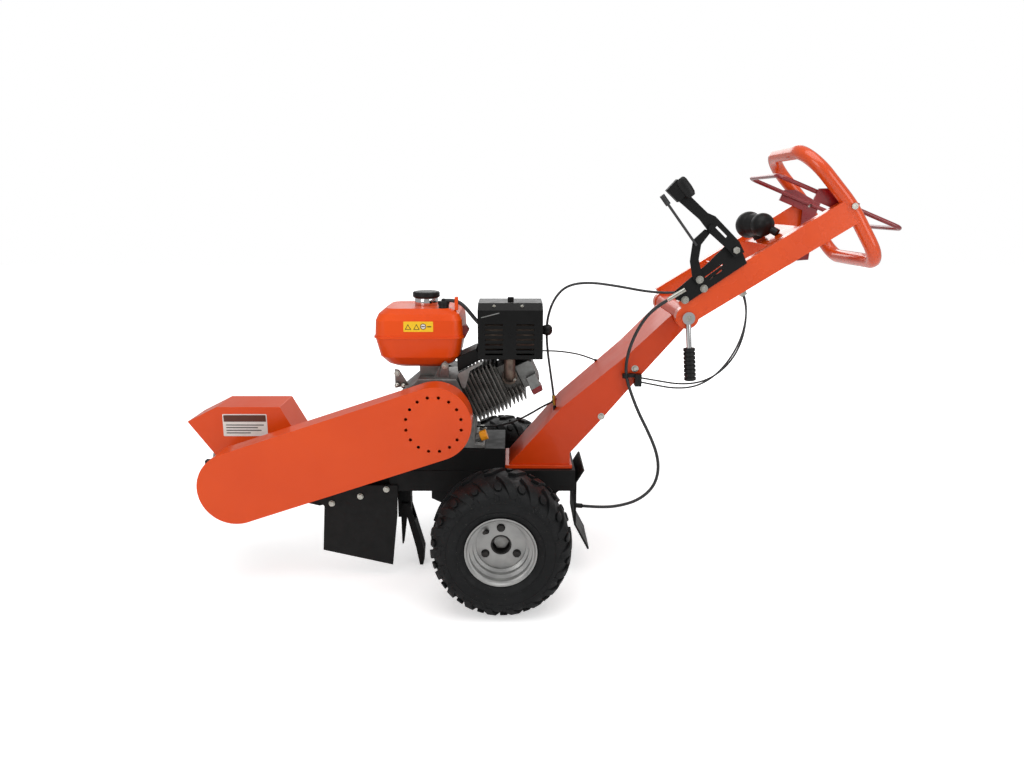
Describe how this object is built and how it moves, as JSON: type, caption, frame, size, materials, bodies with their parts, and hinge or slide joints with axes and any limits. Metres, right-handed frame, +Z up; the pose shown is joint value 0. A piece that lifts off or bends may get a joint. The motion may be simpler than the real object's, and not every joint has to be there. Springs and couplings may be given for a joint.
{
  "type": "stump grinder",
  "caption": "Walk-behind stump grinder with a toothed cutting wheel, side belt guard, petrol engine, pneumatic tyres, folding prop leg and a tilting handle arm with brake and bail controls.",
  "frame": {"origin": "on the ground, under the middle of the object's overall length and width", "axes": "+Z up; +X from the cutter back to the operator's handle; the belt guard is on the -Y side"},
  "size_m": [2.0122, 0.76, 1.252],
  "materials": {
    "guard_paint": "gloss orange paint",
    "frame_paint": "gloss orange paint",
    "handle_paint": "gloss orange paint",
    "tank_paint": "gloss orange paint",
    "bail_paint": "dark red paint",
    "black_coat": "satin black powder coat",
    "rim_paint": "silver paint",
    "steel": "bare machined steel",
    "zinc": "zinc plated fasteners",
    "chrome": "chrome plate",
    "cast_iron": "cast iron",
    "aluminium": "as cast aluminium",
    "exhaust_steel": "heat stained steel",
    "carbide": "carbide tipped steel",
    "tyre_rubber": "black tyre rubber",
    "rubber": "black rubber",
    "black_plastic": "moulded black plastic",
    "gloss_black_plastic": "moulded black plastic",
    "yellow_plastic": "yellow plastic",
    "cable_sheath": "black cable sheath"
  },
  "bodies": {
    "chassis": {"chassis_frame": "black_coat", "axle_carrier": "black_coat", "axle_shaft": "steel", "brake_plate": "steel", "rear_step_plate": "black_coat", "front_stand": "black_coat", "handle_column": "frame_paint", "belt_guard": "guard_paint", "guard_back_plate": "guard_paint", "drive_belts": "rubber", "cutter_hood": "guard_paint", "cutter_arms": "black_coat", "bearing_blocks": "cast_iron", "side_flap": "rubber", "frame_bolts": "zinc", "engine_block": "aluminium", "recoil_starter": "black_coat", "cylinder": "aluminium", "cylinder_head": "aluminium", "valve_cover": "aluminium", "exhaust": "exhaust_steel", "exhaust_guard": "black_coat", "carburettor": "aluminium", "air_cleaner": "gloss_black_plastic", "fuel_tank": "tank_paint", "tank_bracket": "steel", "throttle_cable": "cable_sheath", "choke_cable": "cable_sheath", "brake_cable": "cable_sheath", "control_strands": "cable_sheath", "engine_cable": "cable_sheath", "cable_glands": "black_plastic"},
    "wheel_near": {"tyre_near": "tyre_rubber", "rim_near": "rim_paint", "wheel_hub_near": "cast_iron"},
    "wheel_far": {"tyre_far": "tyre_rubber", "rim_far": "rim_paint", "wheel_hub_far": "cast_iron"},
    "drive": {"crank_and_flywheel": "cast_iron", "drive_pulley": "cast_iron"},
    "cutter": {"cutter_shaft": "steel", "cutter_wheel": "steel", "cutter_teeth": "carbide", "driven_pulley": "cast_iron"},
    "arm": {"arm_rails": "handle_paint", "handle_loop": "handle_paint", "arm_shelf": "handle_paint", "arm_bolts": "zinc", "brake_mount": "black_coat", "arm_glands": "zinc"},
    "clamp": {"clamp_lever": "chrome", "clamp_grip": "black_plastic"},
    "bail": {"bail": "bail_paint"},
    "brake_lever": {"brake_handle": "black_coat"},
    "release": {"release_rod": "steel"},
    "throttle": {"throttle_handgrip": "black_plastic"},
    "leg": {"prop_leg": "black_coat"},
    "filler_cap": {"fuel_cap": "black_plastic"},
    "dipstick": {"oil_cap": "yellow_plastic"},
    "pull_start": {"starter_grip": "black_plastic"}
  },
  "joints": [
    {"name": "near_wheel_spin", "type": "hinge", "parent": "chassis", "child": "wheel_near", "pos_m": [-0.08408, -0.285, 0.195], "axis": [0, 1, 0], "continuous": true},
    {"name": "far_wheel_spin", "type": "hinge", "parent": "chassis", "child": "wheel_far", "pos_m": [-0.08408, 0.285, 0.195], "axis": [0, 1, 0], "continuous": true},
    {"name": "cutter_spin", "type": "hinge", "parent": "chassis", "child": "cutter", "pos_m": [-0.82808, 0, 0.323], "axis": [0, 1, 0], "continuous": true},
    {"name": "crank_spin", "type": "hinge", "parent": "chassis", "child": "drive", "pos_m": [-0.26908, 0, 0.508], "axis": [0, 1, 0], "continuous": true},
    {"name": "handle_tilt", "type": "hinge", "parent": "chassis", "child": "arm", "pos_m": [0.41992, 0, 0.797], "axis": [0, 1, 0], "range_deg": [-20, 15], "deforming": ["throttle_cable", "brake_cable", "control_strands"]},
    {"name": "clamp_turn", "type": "hinge", "parent": "arm", "child": "clamp", "pos_m": [0.41992, -0.2, 0.797], "axis": [0, 1, 0], "range_deg": [-60, 60]},
    {"name": "bail_squeeze", "type": "hinge", "parent": "arm", "child": "bail", "pos_m": [0.84194, 0, 1.09101], "axis": [0, 1, 0], "range_deg": [0, 12], "stiffness_Nm_per_rad": 12, "springref_deg": -20.05},
    {"name": "brake_pull", "type": "hinge", "parent": "arm", "child": "brake_lever", "pos_m": [0.53569, -0.19, 0.97782], "axis": [0, 1, 0], "range_deg": [0, 35]},
    {"name": "release_press", "type": "slide", "parent": "arm", "child": "release", "axis": [-0.6018, 0, 0.7986], "range_m": [-0.01, 0], "stiffness_N_per_m": 300, "springref_m": 0.004},
    {"name": "throttle_turn", "type": "hinge", "parent": "arm", "child": "throttle", "pos_m": [0.66236, 0.02, 1.00155], "axis": [-0.5299, 0, 0.848], "range_deg": [-20, 20]},
    {"name": "leg_fold", "type": "hinge", "parent": "chassis", "child": "leg", "pos_m": [-0.38108, 0, 0.196], "axis": [0, 1, 0], "range_deg": [-95, 0]},
    {"name": "fuel_cap_turn", "type": "hinge", "parent": "chassis", "child": "filler_cap", "pos_m": [-0.30608, 0.02, 0.84], "axis": [0, 0, 1], "range_deg": [0, 90]},
    {"name": "oil_cap_turn", "type": "hinge", "parent": "chassis", "child": "dipstick", "pos_m": [-0.14508, -0.082, 0.434], "axis": [0.9404, 0, 0.3401], "range_deg": [0, 90]},
    {"name": "starter_pull", "type": "slide", "parent": "chassis", "child": "pull_start", "axis": [0, 0.6, 0.8], "range_m": [0, 0.5], "stiffness_N_per_m": 20, "springref_m": -0.05}
  ],
  "couplings": [
    {"joint": "crank_spin", "follows": "cutter_spin", "ratio": 1.2222}
  ]
}
